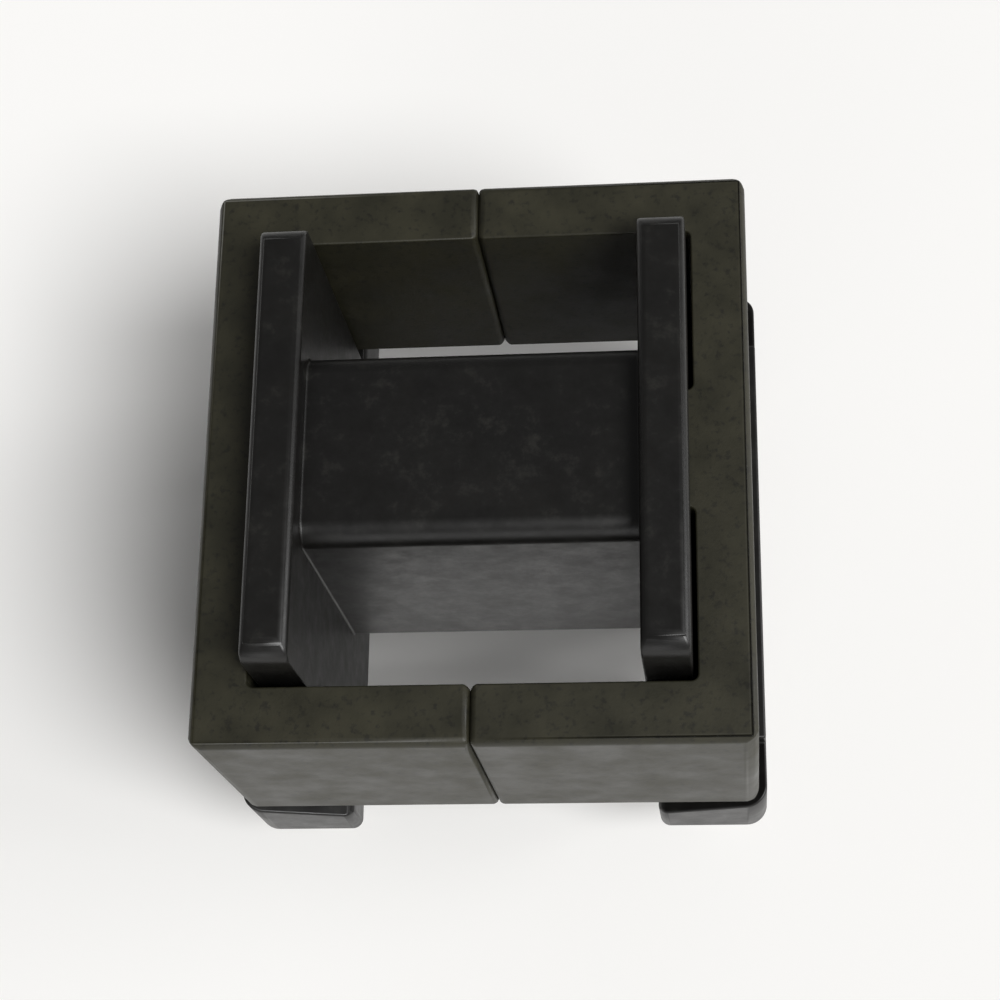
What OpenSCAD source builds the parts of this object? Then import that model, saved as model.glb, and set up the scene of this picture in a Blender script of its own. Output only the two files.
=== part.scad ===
// Pair of E-shaped ferrite core halves closed through a ten-pin horizontal coil former.
// X runs along the centre leg, Y across the three legs, Z up from the pin tips.

/* [Ferrite core] */
// Overall width of a core half, across its outer legs
core_span = 13.2; // [12.8:0.1:14]
// Length of one core half, from its back to the joint faces
half_length = 6.1; // [5.8:0.1:6.8]
// Thickness of the core, bottom to top
core_thickness = 6.1; // [5.6:0.1:6.8]
// Width of each outer leg
outer_leg = 1.35; // [1.15:0.05:1.6]
// Width of the centre leg, which stands inside the former's tube
centre_leg = 2.75; // [2.4:0.05:3.1]
// Thickness of the back that joins the three legs
core_back = 1.25; // [1.1:0.05:1.45]
// Radius of the two upright outside corners
corner_radius = 0.35; // [0.2:0.05:0.6]
// Radius of the outside top and bottom edges
edge_radius = 0.2; // [0.1:0.05:0.3]
// Radius at the root of each leg, inside the window
root_radius = 0.15; // [0.1:0.05:0.2]
// Bevel round each joint face, which leaves a fine groove at the seam
joint_bevel = 0.1; // [0.05:0.01:0.15]

/* [Coil former] */
// Wall of the tube that the winding goes on
tube_wall = 0.6; // [0.45:0.05:0.7]
// Radius of the tube's four long edges
tube_edge = 0.5; // [0.3:0.05:0.6]
// Radius of the four corners of the tube's bore
bore_corner = 0.15; // [0.1:0.05:0.25]
// Clearance between the centre leg's sides and the bore, each side
leg_side_clearance = 0.25; // [0.15:0.05:0.3]
// Clearance between the centre leg's top or bottom and the bore
leg_face_clearance = 0.08; // [0.05:0.01:0.15]
// Thickness of each flange
flange_thickness = 1.05; // [0.8:0.05:1.2]
// Height of the flanges above the core's top face
flange_rise = 1.5; // [1.1:0.1:2]
// Radius of the flanges' two upper corners
flange_corner = 0.5; // [0.3:0.05:0.8]
// Radius along the flanges' top edges
flange_edge = 0.22; // [0.1:0.02:0.3]
// Clearance between a flange and the core's back
flange_back_clearance = 0.1; // [0.05:0.01:0.2]
// Clearance between a flange's ends and the outer legs
flange_leg_clearance = 0.2; // [0.1:0.05:0.4]

/* [Pin rails] */
// Height of the rails under the core
rail_height = 2.6; // [2.4:0.1:3.2]
// How far a rail stands out past the core's back
rail_overhang = 0.2; // [0.1:0.05:0.4]
// Radius of the rails' outer upright corners
rail_corner = 0.5; // [0.3:0.05:0.7]
// Radius of the rails' inner upright corners and of the inner edge of each lead way
rail_inner_edge = 0.25; // [0.15:0.05:0.3]
// Depth of the lead way under each outer leg, at the winding side
lead_way_inner = 1.15; // [0.9:0.05:1.25]
// Depth of the same lead way at the rail's outer side
lead_way_outer = 0.35; // [0.2:0.05:0.5]
// Width of the lead notches between the pins
notch_width = 0.8; // [0.6:0.05:1]
// Depth of the lead notches into the rail's outer face
notch_depth = 0.55; // [0.4:0.05:0.7]
// Height of the lead notches, up from the rail's underside
notch_height = 1.3; // [1:0.05:1.6]

/* [Pins] */
// Number of pins in each rail
pin_count = 5; // [3:1:5]
// Distance between neighbouring pins
pin_pitch = 2.5; // [2.3:0.05:2.6]
// Distance between the two rows of pins
pin_row_spacing = 10; // [9.8:0.1:10.4]
// Diameter of a pin
pin_diameter = 0.6; // [0.5:0.05:0.7]
// Length of a pin below its rail
pin_length = 3.5; // [3:0.1:4.5]
// Length of the tapered tip of a pin
pin_tip = 0.2; // [0.1:0.05:0.3]
// Diameter at the very end of that tip
pin_tip_diameter = 0.36; // [0.3:0.02:0.46]
// Side of the square anchor that holds a pin in its rail, a little wider than the pin
pin_anchor = 0.65; // [0.65:0.05:0.75]
// Length of that anchor, up into the rail
pin_seat = 1.4; // [1:0.05:1.5]
// Clearance between the anchor and its seat, each side
pin_clearance = 0.01; // [0.005:0.005:0.02]

/* [Hidden] */
$fn = 64;
over = 1;

ferrite_grey = [0.23, 0.22, 0.18];
former_black = [0.08, 0.08, 0.085];
tinned_wire = [0.78, 0.78, 0.76];

// Heights
rail_z = pin_length;
core_z = rail_z + rail_height;
core_top = core_z + core_thickness;
core_mid = core_z + core_thickness / 2;
flange_top = core_top + flange_rise;

// Places along X, from the joint faces outwards
window_end = half_length - core_back;
flange_outer = window_end - flange_back_clearance;
flange_inner = flange_outer - flange_thickness;
rail_outer = half_length + rail_overhang;

// Places along Y, from the middle outwards
window_side = core_span / 2 - outer_leg;
flange_side = window_side - flange_leg_clearance;
bore_width = centre_leg + 2 * leg_side_clearance;
bore_height = core_thickness + 2 * leg_face_clearance;
tube_width = bore_width + 2 * tube_wall;
tube_height = bore_height + 2 * tube_wall;

// What a round outside corner at (x, y) takes away, for a shape that lies towards (-sx, -sy)
module corner_cut(x, y, sx, sy, r) {
    difference() {
        translate([x + sx * (over - r) / 2, y + sy * (over - r) / 2])
            square(r + over, center = true);
        translate([x - sx * r, y - sy * r]) circle(r = r);
    }
}

// Rectangle from (x0, y0) to (x1, y1), with one radius for each of its four sides' ends:
// low ends of X and Y first, as [x0 y0, x1 y0, x1 y1, x0 y1]
module rounded_plate(x0, x1, y0, y1, radii) {
    difference() {
        translate([x0, y0]) square([x1 - x0, y1 - y0]);
        if (radii[0] > 0) corner_cut(x0, y0, -1, -1, radii[0]);
        if (radii[1] > 0) corner_cut(x1, y0, 1, -1, radii[1]);
        if (radii[2] > 0) corner_cut(x1, y1, 1, 1, radii[2]);
        if (radii[3] > 0) corner_cut(x0, y1, -1, 1, radii[3]);
    }
}

// Stands a flat shape drawn in Y and Z upright, and runs it along X from x0 to x1
module along_x(x0, x1) {
    translate([x0, 0, 0]) rotate([90, 0, 90]) linear_extrude(x1 - x0) children();
}

// Stands a flat shape drawn in X and Z upright, and runs it along Y from y0 to y1
module along_y(y0, y1) {
    translate([0, y1, 0]) rotate([90, 0, 0]) linear_extrude(y1 - y0) children();
}

// A 45 degree bevel on the corner (0, y) of a joint face
module bevel_at(y) {
    translate([0, y]) rotate(45) square(joint_bevel * sqrt(2), center = true);
}

// The E seen from above: back to the right, joint faces on the Y axis
module core_plan() {
    wide = core_span / 2;
    difference() {
        rounded_plate(0, half_length, -wide, wide, [0, corner_radius, corner_radius, 0]);
        for (s = [-1, 1]) {
            near = s > 0 ? centre_leg / 2 : -window_side;
            rounded_plate(-over, window_end, near, near + window_side - centre_leg / 2,
                [0, root_radius, root_radius, 0]);
            for (y = [centre_leg / 2, window_side, wide]) bevel_at(s * y);
        }
    }
}

// One half of the core, with its back on the +X side
module core_half() {
    wide = core_span / 2;
    intersection() {
        translate([0, 0, core_z]) linear_extrude(core_thickness) core_plan();
        along_y(-wide, wide) difference() {
            rounded_plate(0, half_length, core_z, core_top, [0, edge_radius, edge_radius, 0]);
            for (z = [core_z, core_top]) bevel_at(z);
        }
        along_x(0, half_length)
            rounded_plate(-wide, wide, core_z, core_top,
                [edge_radius, edge_radius, edge_radius, edge_radius]);
    }
}

module core_half_left() color(ferrite_grey) mirror([1, 0, 0]) core_half();

module core_half_right() color(ferrite_grey) core_half();

// Flat shape of the tube or of its bore, in Y and Z
module tube_outline(width, height, radius) {
    rounded_plate(-width / 2, width / 2, core_mid - height / 2, core_mid + height / 2,
        [radius, radius, radius, radius]);
}

// Flange on the +X side, from the rail's underside to above the core
module flange() {
    intersection() {
        along_x(flange_inner, flange_outer)
            rounded_plate(-flange_side, flange_side, rail_z, flange_top,
                [0, 0, flange_corner, flange_corner]);
        along_y(-flange_side, flange_side)
            rounded_plate(flange_inner, flange_outer, rail_z, flange_top,
                [0, 0, flange_edge, flange_edge]);
    }
}

// Cut that slopes the rail's top down towards the winding, in X and Z
module lead_way_outline() {
    slope = (lead_way_inner - lead_way_outer) / (rail_outer - flange_inner);
    start_z = core_z - lead_way_inner;
    centre_z = start_z + slope * rail_inner_edge - rail_inner_edge * sqrt(1 + slope * slope);
    touch = rail_inner_edge * slope / sqrt(1 + slope * slope);
    touch_x = flange_inner + rail_inner_edge - touch;
    polygon([
        [flange_inner - over, start_z - slope * over],
        [rail_outer + over, core_z - lead_way_outer + slope * over],
        [rail_outer + over, core_z + over],
        [flange_inner - over, core_z + over]
    ]);
    difference() {
        polygon([
            [flange_inner - over, centre_z],
            [flange_inner + rail_inner_edge, centre_z],
            [touch_x, start_z + slope * (touch_x - flange_inner)],
            [touch_x, core_z],
            [flange_inner - over, core_z]
        ]);
        translate([flange_inner + rail_inner_edge, centre_z]) circle(r = rail_inner_edge);
    }
}

// Rail on the +X side: it carries the core's back, a flange and a row of pins
module rail() {
    wide = core_span / 2;
    difference() {
        translate([0, 0, rail_z]) linear_extrude(rail_height)
            rounded_plate(flange_inner, rail_outer, -wide, wide,
                [rail_inner_edge, rail_corner, rail_corner, rail_inner_edge]);
        along_y(flange_side, wide + over) lead_way_outline();
        along_y(-wide - over, -flange_side) lead_way_outline();
        for (i = [1:pin_count - 1])
            translate([rail_outer - notch_depth, row_y(i) - pin_pitch / 2 - notch_width / 2,
                rail_z - over])
                cube([notch_depth + over, notch_width, notch_height + over]);
    }
}

// Moulded in one piece: tube, two flanges and two rails, with a seat for each pin
module coil_former() color(former_black) difference() {
    union() {
        along_x(-flange_outer, flange_outer) tube_outline(tube_width, tube_height, tube_edge);
        for (m = [0, 1]) mirror([m, 0, 0]) {
            flange();
            rail();
        }
    }
    along_x(-flange_outer - over, flange_outer + over)
        tube_outline(bore_width, bore_height, bore_corner);
    for (i = [1:2 * pin_count])
        translate([row_x(i), row_y(i), rail_z - over])
            square_post(pin_anchor + 2 * pin_clearance, pin_seat + over);
}

// Pins count down the left rail from the far end, then back up the right rail
function row_x(i) = (i > pin_count ? 1 : -1) * pin_row_spacing / 2;
function row_y(i) = pin_pitch
    * (i > pin_count ? i - pin_count - 1 - (pin_count - 1) / 2 : (pin_count - 1) / 2 - i + 1);

module square_post(side, height) {
    translate([-side / 2, -side / 2, 0]) cube([side, side, height]);
}

// Round below the rail, with a square anchor inside it
module pin(i) color(tinned_wire) translate([row_x(i), row_y(i), 0]) {
    cylinder(h = pin_tip, d1 = pin_tip_diameter, d2 = pin_diameter);
    translate([0, 0, pin_tip]) cylinder(h = pin_length - pin_tip, d = pin_diameter);
    translate([0, 0, pin_length]) square_post(pin_anchor, pin_seat);
}

core_half_left();
core_half_right();
coil_former();
for (i = [1:2 * pin_count])
    pin(i);
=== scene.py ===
import math
import bmesh
import bpy
from mathutils import Euler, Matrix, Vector, noise


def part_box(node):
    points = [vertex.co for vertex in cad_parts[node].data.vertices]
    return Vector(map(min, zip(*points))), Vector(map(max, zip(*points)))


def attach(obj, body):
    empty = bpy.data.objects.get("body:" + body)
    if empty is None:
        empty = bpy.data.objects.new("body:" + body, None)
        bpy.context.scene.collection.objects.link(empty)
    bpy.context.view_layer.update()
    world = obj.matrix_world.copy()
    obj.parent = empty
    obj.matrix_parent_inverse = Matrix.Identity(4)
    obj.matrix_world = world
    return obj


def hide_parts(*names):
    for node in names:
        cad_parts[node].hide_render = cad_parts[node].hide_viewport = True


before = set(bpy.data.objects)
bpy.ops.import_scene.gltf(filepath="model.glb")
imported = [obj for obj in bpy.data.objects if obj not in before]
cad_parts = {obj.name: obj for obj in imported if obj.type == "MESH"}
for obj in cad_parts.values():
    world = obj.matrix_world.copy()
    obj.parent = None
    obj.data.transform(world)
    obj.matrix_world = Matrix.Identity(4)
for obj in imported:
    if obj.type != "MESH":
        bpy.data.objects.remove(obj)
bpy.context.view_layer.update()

mm = 0.001


def linearColour(hexText):
    channels = [int(hexText[i:i + 2], 16) / 255 for i in (1, 3, 5)]
    return [c / 12.92 if c <= 0.04045 else ((c + 0.055) / 1.055) ** 2.4 for c in channels] + [1.0]


def addNode(tree, kind, settings=None, values=None, links=None):
    node = tree.nodes.new(kind)
    for name, value in (settings or {}).items():
        setattr(node, name, value)
    for socket, value in (values or {}).items():
        node.inputs[socket].default_value = value
    for socket, source in (links or {}).items():
        tree.links.new(source, node.inputs[socket])
    return node


def newMaterial(name):
    material = bpy.data.materials.new(name)
    material.use_nodes = True
    tree = material.node_tree
    tree.nodes.clear()
    return material, tree, addNode(tree, "ShaderNodeOutputMaterial")


def setRamp(node, stops):
    ramp = node.color_ramp
    while len(ramp.elements) < len(stops):
        ramp.elements.new(0.5)
    for element, (position, colour) in zip(ramp.elements, stops):
        element.position = position
        element.color = colour


# sintered ferrite is a fired ceramic, pressed and tumbled: satin black-brown with an olive cast
# its fired grain is about 0.01 mm, too fine to show, so grain and specks are drawn coarser
ferriteLook = {
    "body": "#25241a", "light": "#2f2d1f", "pore": "#16150f",
    "blotchMm": 1.1, "speckMm": 0.16, "grainMm": 0.07,
    "roughLow": 0.4, "roughHigh": 0.56,
    "ior": 1.46,  # the ceramic's own is about 2.3, and this is matched to how little the face shines
    "grainDepthMm": 0.0035, "waveDepthMm": 0.006,
}


def makeSinteredFerrite(look):
    material, tree, output = newMaterial("sinteredFerrite")
    place = addNode(tree, "ShaderNodeTexCoord").outputs["Object"]
    blotch = addNode(tree, "ShaderNodeTexNoise", None,
                     {"Scale": 1 / (look["blotchMm"] * mm), "Detail": 3.0, "Roughness": 0.55},
                     {"Vector": place})
    speck = addNode(tree, "ShaderNodeTexNoise", None,
                    {"Scale": 1 / (look["speckMm"] * mm), "Detail": 3.0, "Roughness": 0.6}, {"Vector": place})
    tone = addNode(tree, "ShaderNodeValToRGB", None, None, {"Fac": blotch.outputs["Fac"]})
    setRamp(tone, [(0.32, linearColour(look["body"])), (0.7, linearColour(look["light"]))])
    pores = addNode(tree, "ShaderNodeMapRange", None,
                    {"From Min": 0.3, "From Max": 0.46, "To Min": 0.75, "To Max": 0.0},
                    {"Value": speck.outputs["Fac"]})
    colour = addNode(tree, "ShaderNodeMix", {"data_type": "RGBA"}, {7: linearColour(look["pore"])},
                     {0: pores.outputs["Result"], 6: tone.outputs["Color"]})
    rough = addNode(tree, "ShaderNodeMapRange", None,
                    {"From Min": 0.3, "From Max": 0.7, "To Min": look["roughLow"], "To Max": look["roughHigh"]},
                    {"Value": blotch.outputs["Fac"]})
    grain = addNode(tree, "ShaderNodeTexNoise", None,
                    {"Scale": 1 / (look["grainMm"] * mm), "Detail": 2.0}, {"Vector": place})
    wave = addNode(tree, "ShaderNodeBump", None, {"Distance": look["waveDepthMm"] * mm, "Strength": 0.6},
                   {"Height": blotch.outputs["Fac"]})
    relief = addNode(tree, "ShaderNodeBump", None, {"Distance": look["grainDepthMm"] * mm, "Strength": 0.7},
                     {"Height": grain.outputs["Fac"], "Normal": wave.outputs["Normal"]})
    surface = addNode(tree, "ShaderNodeBsdfPrincipled", None, {"IOR": look["ior"]},
                      {"Base Color": colour.outputs[2], "Roughness": rough.outputs["Result"],
                       "Normal": relief.outputs["Normal"]})
    tree.links.new(surface.outputs[0], output.inputs["Surface"])
    return material


# moulded phenolic is a thermoset pressed in polished steel: a dark, even, semi-gloss skin
# its filler is finer than 0.1 mm, too fine to show, so the skin's ripple is drawn coarser
phenolicLook = {
    "body": "#0b0a09", "bloom": "#12110f", "dust": "#2f2e29",
    "flowMm": 2.4, "skinMm": 0.22, "dustMm": 0.6,
    "roughLow": 0.32, "roughHigh": 0.48,
    "ior": 1.48,  # the resin's own is about 1.6, and this is matched to how little the tube shines
    "skinDepthMm": 0.0008, "flowDepthMm": 0.006,
}


def makeMouldedPhenolic(look):
    material, tree, output = newMaterial("mouldedPhenolic")
    place = addNode(tree, "ShaderNodeTexCoord").outputs["Object"]
    flow = addNode(tree, "ShaderNodeTexNoise", None,
                   {"Scale": 1 / (look["flowMm"] * mm), "Detail": 2.0, "Distortion": 0.6}, {"Vector": place})
    skin = addNode(tree, "ShaderNodeTexNoise", None,
                   {"Scale": 1 / (look["skinMm"] * mm), "Detail": 3.0, "Roughness": 0.6}, {"Vector": place})
    dust = addNode(tree, "ShaderNodeTexNoise", None,
                   {"Scale": 1 / (look["dustMm"] * mm), "Detail": 5.0, "Roughness": 0.7}, {"Vector": place})
    tone = addNode(tree, "ShaderNodeValToRGB", None, None, {"Fac": flow.outputs["Fac"]})
    setRamp(tone, [(0.35, linearColour(look["body"])), (0.7, linearColour(look["bloom"]))])
    settled = addNode(tree, "ShaderNodeMapRange", None,
                      {"From Min": 0.56, "From Max": 0.8, "To Min": 0.0, "To Max": 0.5},
                      {"Value": dust.outputs["Fac"]})
    colour = addNode(tree, "ShaderNodeMix", {"data_type": "RGBA"}, {7: linearColour(look["dust"])},
                     {0: settled.outputs["Result"], 6: tone.outputs["Color"]})
    rough = addNode(tree, "ShaderNodeMapRange", None,
                    {"From Min": 0.3, "From Max": 0.75,
                     "To Min": look["roughLow"], "To Max": look["roughHigh"]},
                    {"Value": dust.outputs["Fac"]})
    sink = addNode(tree, "ShaderNodeBump", None, {"Distance": look["flowDepthMm"] * mm, "Strength": 0.5},
                   {"Height": flow.outputs["Fac"]})
    relief = addNode(tree, "ShaderNodeBump", None, {"Distance": look["skinDepthMm"] * mm, "Strength": 0.6},
                     {"Height": skin.outputs["Fac"], "Normal": sink.outputs["Normal"]})
    surface = addNode(tree, "ShaderNodeBsdfPrincipled", None, {"IOR": look["ior"]},
                      {"Base Color": colour.outputs[2], "Roughness": rough.outputs["Result"],
                       "Normal": relief.outputs["Normal"]})
    tree.links.new(surface.outputs[0], output.inputs["Surface"])
    return material


# tinned wire is copper dipped in solder: a soft grey-white metal with slow ripples along it
tinLook = {"bright": "#d3d2cc", "dull": "#b4b3ad", "rippleMm": 0.35, "rippleDepthMm": 0.01,
           "roughLow": 0.24, "roughHigh": 0.42}


def makeTinnedWire(look):
    material, tree, output = newMaterial("tinnedWire")
    place = addNode(tree, "ShaderNodeTexCoord").outputs["Object"]
    ripple = addNode(tree, "ShaderNodeTexNoise", None,
                     {"Scale": 1 / (look["rippleMm"] * mm), "Detail": 3.0}, {"Vector": place})
    tone = addNode(tree, "ShaderNodeValToRGB", None, None, {"Fac": ripple.outputs["Fac"]})
    setRamp(tone, [(0.35, linearColour(look["dull"])), (0.65, linearColour(look["bright"]))])
    rough = addNode(tree, "ShaderNodeMapRange", None,
                    {"From Min": 0.35, "From Max": 0.65,
                     "To Min": look["roughHigh"], "To Max": look["roughLow"]},
                    {"Value": ripple.outputs["Fac"]})
    relief = addNode(tree, "ShaderNodeBump", None, {"Distance": look["rippleDepthMm"] * mm, "Strength": 0.5},
                     {"Height": ripple.outputs["Fac"]})
    surface = addNode(tree, "ShaderNodeBsdfPrincipled", None, {"Metallic": 1.0},
                      {"Base Color": tone.outputs["Color"], "Roughness": rough.outputs["Result"],
                       "Normal": relief.outputs["Normal"]})
    tree.links.new(surface.outputs[0], output.inputs["Surface"])
    return material


sinteredFerrite = makeSinteredFerrite(ferriteLook)
mouldedPhenolic = makeMouldedPhenolic(phenolicLook)
tinnedWire = makeTinnedWire(tinLook)
print("materials ready")


def mergedSolid(nodeName, pieceName):
    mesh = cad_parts[nodeName].data.copy()
    mesh.name = pieceName
    work = bmesh.new()
    work.from_mesh(mesh)
    bmesh.ops.remove_doubles(work, verts=work.verts, dist=1e-7)
    bmesh.ops.dissolve_limit(work, angle_limit=math.radians(0.5), verts=work.verts, edges=work.edges)
    for layer in list(work.loops.layers.uv.values()):
        work.loops.layers.uv.remove(layer)
    work.to_mesh(mesh)
    work.free()
    if "custom_normal" in mesh.attributes:
        mesh.attributes.remove(mesh.attributes["custom_normal"])
    piece = bpy.data.objects.new(pieceName, mesh)
    bpy.context.scene.collection.objects.link(piece)
    return piece


def softenEdges(piece, trim, material):
    mesh = piece.data
    for face in mesh.polygons:
        face.use_smooth = True
    mesh.set_sharp_from_angle(angle=math.radians(trim["sharpDegrees"]))
    bevel = piece.modifiers.new("edge", "BEVEL")
    bevel.width = trim["edgeMm"] * mm
    bevel.segments = trim["edgeSegments"]
    bevel.limit_method = "ANGLE"
    bevel.angle_limit = math.radians(trim["sharpDegrees"])
    bevel.use_clamp_overlap = False
    bevel.miter_outer = "MITER_ARC"
    weigh = piece.modifiers.new("flatten", "WEIGHTED_NORMAL")
    weigh.mode = "FACE_AREA"
    weigh.keep_sharp = False
    weigh.weight = 80  # large faces stay flat up to their bevels
    bpy.context.view_layer.update()
    finished = bpy.data.meshes.new_from_object(piece.evaluated_get(bpy.context.evaluated_depsgraph_get()))
    piece.modifiers.clear()
    piece.data = finished
    finished.name = piece.name
    finished.materials.clear()
    finished.materials.append(material)
    return piece


# the two core halves
coreTrim = {
    "edgeMm": 0.05, "edgeSegments": 2, "sharpDegrees": 38,
    "seamBevelMm": 0.1,  # as on the solids
    "chipMm": 0.13, "chipLengthMm": 0.45, "chipDriftMm": 0.8, "chipInwards": 0.25, "seed": 5.0,
}


def chipSeam(piece, spec):
    # grinding the joint faces leaves their rims nibbled, so the rim of the bevel wanders away from the seam
    rim = spec["seamBevelMm"] * mm
    work = bmesh.new()
    work.from_mesh(piece.data)
    edges = [e for e in work.edges if all(abs(abs(v.co.x) - rim) < 2e-6 for v in e.verts)]
    for edge in edges:
        cuts = int(edge.calc_length() / (spec["chipLengthMm"] * mm))
        if cuts < 1:
            continue
        made = bmesh.ops.subdivide_edges(work, edges=[edge], cuts=cuts)
        for vert in [g for g in made["geom_inner"] if isinstance(g, bmesh.types.BMVert)]:
            sideSeed = Vector((spec["seed"], 0, math.copysign(3, vert.co.x)))  # each side wanders its own way
            wander = noise.noise(vert.co / (spec["chipDriftMm"] * mm) + sideSeed)
            vert.co.x += math.copysign(max(wander, -spec["chipInwards"]) * spec["chipMm"] * mm, vert.co.x)
    work.to_mesh(piece.data)
    work.free()


for side in ("left", "right"):
    half = mergedSolid("core_half_" + side, "ferriteHalf_" + side)
    chipSeam(half, coreTrim)
    softenEdges(half, coreTrim, sinteredFerrite)
    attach(half, "root")
    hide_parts("core_half_" + side)
print("core halves finished")

# the coil former, one moulding
formerTrim = {"edgeMm": 0.06, "edgeSegments": 2, "sharpDegrees": 38}

former = mergedSolid("coil_former", "formerMoulding")
softenEdges(former, formerTrim, mouldedPhenolic)
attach(former, "root")
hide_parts("coil_former")
print("coil former finished")


def boxMiddle(nodeName, axis):
    low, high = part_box(nodeName)
    return (low[axis] + high[axis]) / 2


# the pins: one dipped wire pin, set out on the two rows
pinLow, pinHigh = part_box("pin_1")
pinSpec = {
    "rowSpacing": boxMiddle("pin_10", 0) - boxMiddle("pin_1", 0),
    "rowLength": boxMiddle("pin_1", 1) - boxMiddle("pin_5", 1),
    "perRow": 5, "diameter": 0.6 * mm, "anchorSide": pinHigh.x - pinLow.x,
    "shoulder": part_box("coil_former")[0].z,  # the round wire ends at the rails' undersides
    "top": pinHigh.z, "tip": 0.25 * mm, "tipDiameter": 0.3 * mm,
}


def makePinRows(spec, material):
    tree = bpy.data.node_groups.new("pinRows", "GeometryNodeTree")
    tree.interface.new_socket("Geometry", in_out="OUTPUT", socket_type="NodeSocketGeometry")
    sockets = {}
    for name in ("rowSpacing", "rowLength", "diameter", "anchorSide", "shoulder", "top", "tip", "tipDiameter"):
        sockets[name] = tree.interface.new_socket(name, in_out="INPUT", socket_type="NodeSocketFloat")
    sockets["perRow"] = tree.interface.new_socket("perRow", in_out="INPUT", socket_type="NodeSocketInt")
    given = addNode(tree, "NodeGroupInput").outputs
    output = addNode(tree, "NodeGroupOutput")

    # the round wire: a line of points up to the shoulder, swept with a radius that closes in at the tip
    rise = addNode(tree, "ShaderNodeCombineXYZ", None, None, {"Z": given["shoulder"]})
    spine = addNode(tree, "GeometryNodeCurvePrimitiveLine", None,
                    {"Start": (0, 0, 0)}, {"End": rise.outputs[0]})
    steps = addNode(tree, "GeometryNodeResampleCurve", None, {"Count": 40}, {"Curve": spine.outputs[0]})
    at = addNode(tree, "GeometryNodeInputPosition")
    height = addNode(tree, "ShaderNodeSeparateXYZ", None, None, {0: at.outputs[0]})
    tipRatio = addNode(tree, "ShaderNodeMath", {"operation": "DIVIDE"}, None,
                       {0: given["tipDiameter"], 1: given["diameter"]})
    taper = addNode(tree, "ShaderNodeMapRange", {"interpolation_type": "SMOOTHSTEP"}, {"To Max": 1.0},
                    {"Value": height.outputs["Z"], "From Max": given["tip"], "To Min": tipRatio.outputs[0]})
    halfWide = addNode(tree, "ShaderNodeMath", {"operation": "MULTIPLY"}, {1: 0.5}, {0: given["diameter"]})
    radius = addNode(tree, "ShaderNodeMath", {"operation": "MULTIPLY"}, None,
                     {0: taper.outputs[0], 1: halfWide.outputs[0]})
    ring = addNode(tree, "GeometryNodeCurvePrimitiveCircle", None, {"Resolution": 28, "Radius": 1.0})
    wire = addNode(tree, "GeometryNodeCurveToMesh", None, {"Fill Caps": True},
                   {"Curve": steps.outputs[0], "Profile Curve": ring.outputs[0], "Scale": radius.outputs[0]})

    # the square anchor, hidden in the rail
    tall = addNode(tree, "ShaderNodeMath", {"operation": "SUBTRACT"}, None,
                   {0: given["top"], 1: given["shoulder"]})
    block = addNode(tree, "ShaderNodeCombineXYZ", None, None,
                    {"X": given["anchorSide"], "Y": given["anchorSide"], "Z": tall.outputs[0]})
    anchor = addNode(tree, "GeometryNodeMeshCube", None, None, {"Size": block.outputs[0]})
    middle = addNode(tree, "ShaderNodeMath", {"operation": "ADD"}, None,
                     {0: given["top"], 1: given["shoulder"]})
    lift = addNode(tree, "ShaderNodeMath", {"operation": "MULTIPLY"}, {1: 0.5}, {0: middle.outputs[0]})
    liftBy = addNode(tree, "ShaderNodeCombineXYZ", None, None, {"Z": lift.outputs[0]})
    seated = addNode(tree, "GeometryNodeTransform", None, None,
                     {"Geometry": anchor.outputs[0], "Translation": liftBy.outputs[0]})
    onePin = addNode(tree, "GeometryNodeJoinGeometry")
    tree.links.new(wire.outputs[0], onePin.inputs[0])
    tree.links.new(seated.outputs[0], onePin.inputs[0])

    # two rows of them
    rows = addNode(tree, "GeometryNodeMeshGrid", None, {"Vertices X": 2},
                   {"Size X": given["rowSpacing"], "Size Y": given["rowLength"], "Vertices Y": given["perRow"]})
    placed = addNode(tree, "GeometryNodeInstanceOnPoints", None, None,
                     {"Points": rows.outputs[0], "Instance": onePin.outputs[0]})
    real = addNode(tree, "GeometryNodeRealizeInstances", None, None, {0: placed.outputs[0]})
    dressed = addNode(tree, "GeometryNodeSetMaterial", None,
                      {"Material": material}, {"Geometry": real.outputs[0]})
    tree.links.new(dressed.outputs[0], output.inputs[0])

    piece = bpy.data.objects.new("tinnedPins", bpy.data.meshes.new("tinnedPins"))
    bpy.context.scene.collection.objects.link(piece)
    modifier = piece.modifiers.new("pinRows", "NODES")
    modifier.node_group = tree
    for name, socket in sockets.items():
        modifier[socket.identifier] = spec[name]
    bpy.context.view_layer.update()
    mesh = bpy.data.meshes.new_from_object(piece.evaluated_get(bpy.context.evaluated_depsgraph_get()))
    piece.modifiers.clear()
    piece.data = mesh
    for face in mesh.polygons:
        face.use_smooth = True
    mesh.set_sharp_from_angle(angle=math.radians(50))
    return piece


pins = makePinRows(pinSpec, tinnedWire)
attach(pins, "root")
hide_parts(*["pin_%d" % i for i in range(1, 11)])
print("pins finished:", len(pins.data.polygons), "faces")

# floor, room light and lamps
studio = {
    "floor": "#f9f8f6",  # as it is seen
    "floorBounce": "#c4c3c0",  # as it lights the part from below
    "floorMm": 3000,
    "worldStrength": 0.17, "worldColour": "#ffffff",
    # each lamp: the level it gives a white face turned to it, its direction, and how wide it looks
    "key": {"white": 0.86, "towards": (110, -90, 200), "softDegrees": 27},
    "fill": {"white": 0.1, "towards": (-40, -220, 60), "softDegrees": 30},
    "right": {"white": 0.3, "towards": (220, 10, 90), "softDegrees": 27},
}


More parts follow.
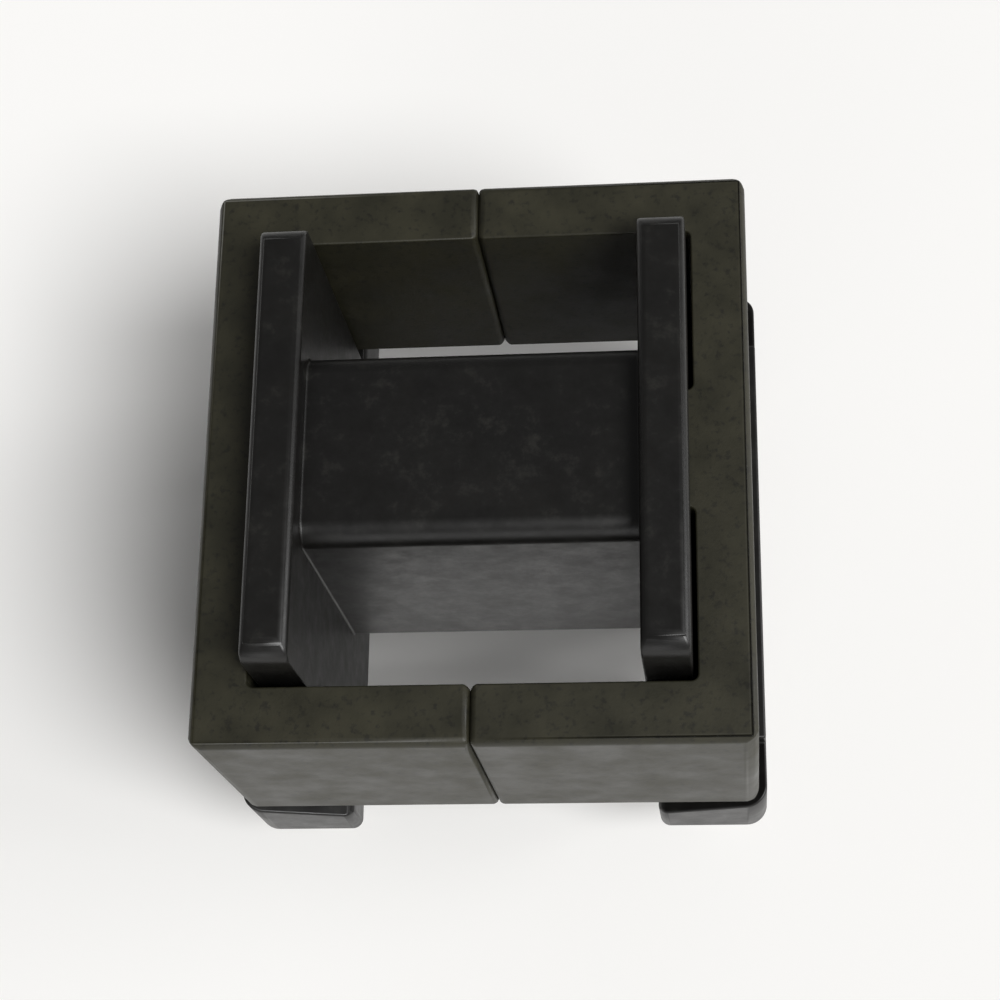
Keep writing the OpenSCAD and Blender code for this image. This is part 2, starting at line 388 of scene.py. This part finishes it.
def makePaleFloor(spec):
    material, tree, output = newMaterial("paleTable")
    rays = addNode(tree, "ShaderNodeLightPath")
    straight = addNode(tree, "ShaderNodeMath", {"operation": "MAXIMUM"}, None,
                       {0: rays.outputs["Is Camera Ray"], 1: rays.outputs["Is Glossy Ray"]})
    shown = addNode(tree, "ShaderNodeMath", {"operation": "MAXIMUM"}, None,
                    {0: straight.outputs[0], 1: rays.outputs["Is Transmission Ray"]})
    colour = addNode(tree, "ShaderNodeMix", {"data_type": "RGBA"},
                     {6: linearColour(spec["floorBounce"]), 7: linearColour(spec["floor"])},
                     {0: shown.outputs[0]})
    surface = addNode(tree, "ShaderNodeBsdfDiffuse", None, None, {"Color": colour.outputs[2]})
    tree.links.new(surface.outputs[0], output.inputs["Surface"])
    half = spec["floorMm"] * mm / 2
    mesh = bpy.data.meshes.new("floor")
    corners = [(-half, -half, 0), (half, -half, 0), (half, half, 0), (-half, half, 0)]
    mesh.from_pydata(corners, [], [(0, 1, 2, 3)])
    mesh.materials.append(material)
    floor = bpy.data.objects.new("floor", mesh)
    bpy.context.scene.collection.objects.link(floor)


def makeWorld(spec):
    world = bpy.data.worlds.new("softRoom")
    world.use_nodes = True
    tree = world.node_tree
    tree.nodes.clear()
    output = addNode(tree, "ShaderNodeOutputWorld")
    room = addNode(tree, "ShaderNodeBackground", None,
                   {"Color": linearColour(spec["worldColour"]), "Strength": spec["worldStrength"]})
    seen = addNode(tree, "ShaderNodeBackground", None, {"Color": linearColour(spec["floor"]), "Strength": 1.0})
    rays = addNode(tree, "ShaderNodeLightPath")
    # straight behind the floor's edge the room is as pale as the floor
    mixed = addNode(tree, "ShaderNodeMixShader", None, None,
                    {0: rays.outputs["Is Camera Ray"], 1: room.outputs[0], 2: seen.outputs[0]})
    tree.links.new(mixed.outputs[0], output.inputs["Surface"])
    bpy.context.scene.world = world


def addSoftLight(name, spec):
    lamp = bpy.data.lights.new(name, "SUN")
    lamp.angle = math.radians(spec["softDegrees"])
    lamp.energy = spec["white"] * math.pi  # a sun of pi lights a white face turned to it to 1
    holder = bpy.data.objects.new(name, lamp)
    holder.rotation_euler = Vector(spec["towards"]).to_track_quat("Z", "Y").to_euler()
    bpy.context.scene.collection.objects.link(holder)


makePaleFloor(studio)
makeWorld(studio)
for name in ("key", "fill", "right"):
    addSoftLight(name + "Light", studio[name])
print("studio ready")

# the camera stands nearly overhead, a little to the right and near side
view = {
    "placeMm": (5.758, -17.511, 57.737),
    "turnDegrees": (-19.799, -6.083, 1.43),  # turns the scene to the camera, so its inverse turns the camera
    "lensMm": 80.0388, "sensorMm": 36,
}

camera = bpy.data.cameras.new("camera")
camera.sensor_width = view["sensorMm"]
camera.lens = view["lensMm"]
camera.clip_start = 1 * mm
camera.clip_end = 10
cameraHolder = bpy.data.objects.new("camera", camera)
turn = Euler([math.radians(a) for a in view["turnDegrees"]], "XYZ").to_matrix().transposed()
cameraHolder.matrix_world = turn.to_4x4()
cameraHolder.location = Vector(view["placeMm"]) * mm
bpy.context.scene.collection.objects.link(cameraHolder)
bpy.context.scene.camera = cameraHolder
bpy.context.scene.view_settings.view_transform = "Standard"
print("camera ready")
